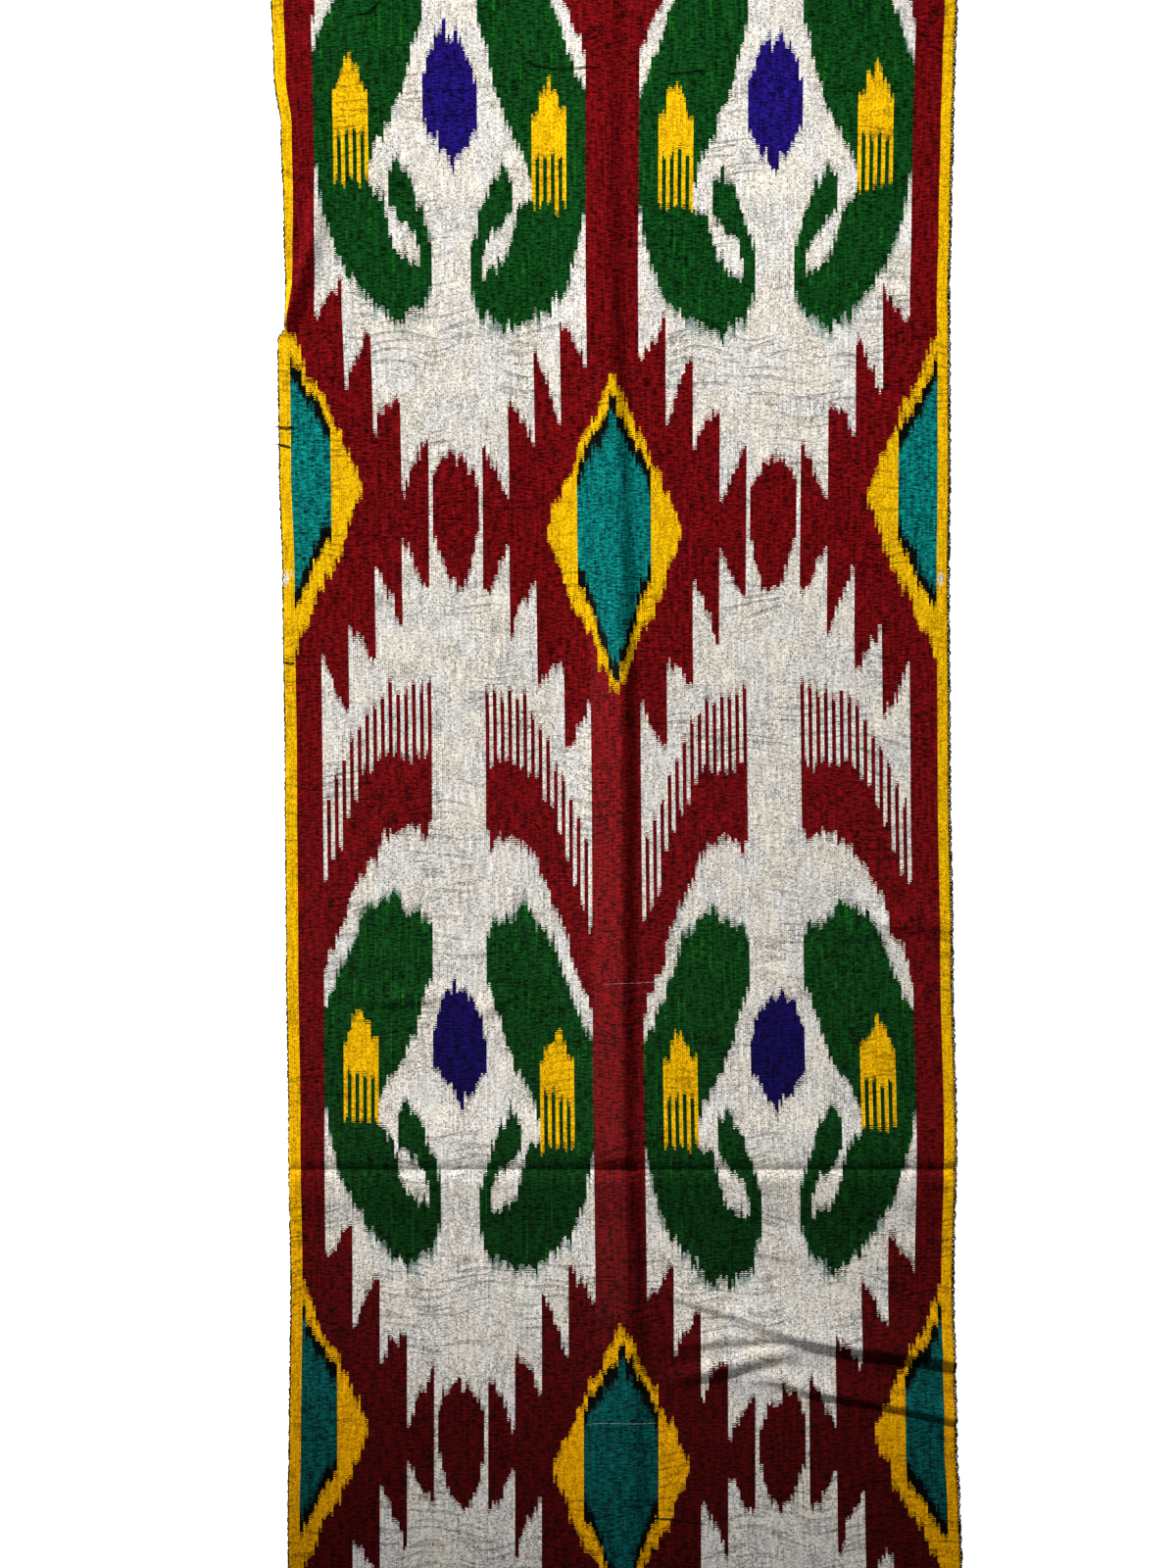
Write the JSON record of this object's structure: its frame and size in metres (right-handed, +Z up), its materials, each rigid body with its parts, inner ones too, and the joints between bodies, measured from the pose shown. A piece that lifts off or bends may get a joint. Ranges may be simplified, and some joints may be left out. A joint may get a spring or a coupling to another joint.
{
  "type": "ikat woven cloth",
  "caption": "Flat cut length of handloomed warp ikat cloth with stepped, mirrored motifs and diamonds between striped selvages, lying in soft creases.",
  "frame": {"origin": "on the surface the cloth lies on, under the middle of its outline's box", "axes": "+X across the cloth towards its right-hand selvage, +Y along the warp towards the upper cut end, +Z up out of its face"},
  "size_m": [0.436, 1, 0.0078],
  "materials": {
    "cloth": "matt warp-faced weave in deep red, undyed white, green, yellow, violet, teal and black, with a dark weft"
  },
  "bodies": {
    "root": {"ikat_cloth": "cloth"}
  },
  "joints": []
}
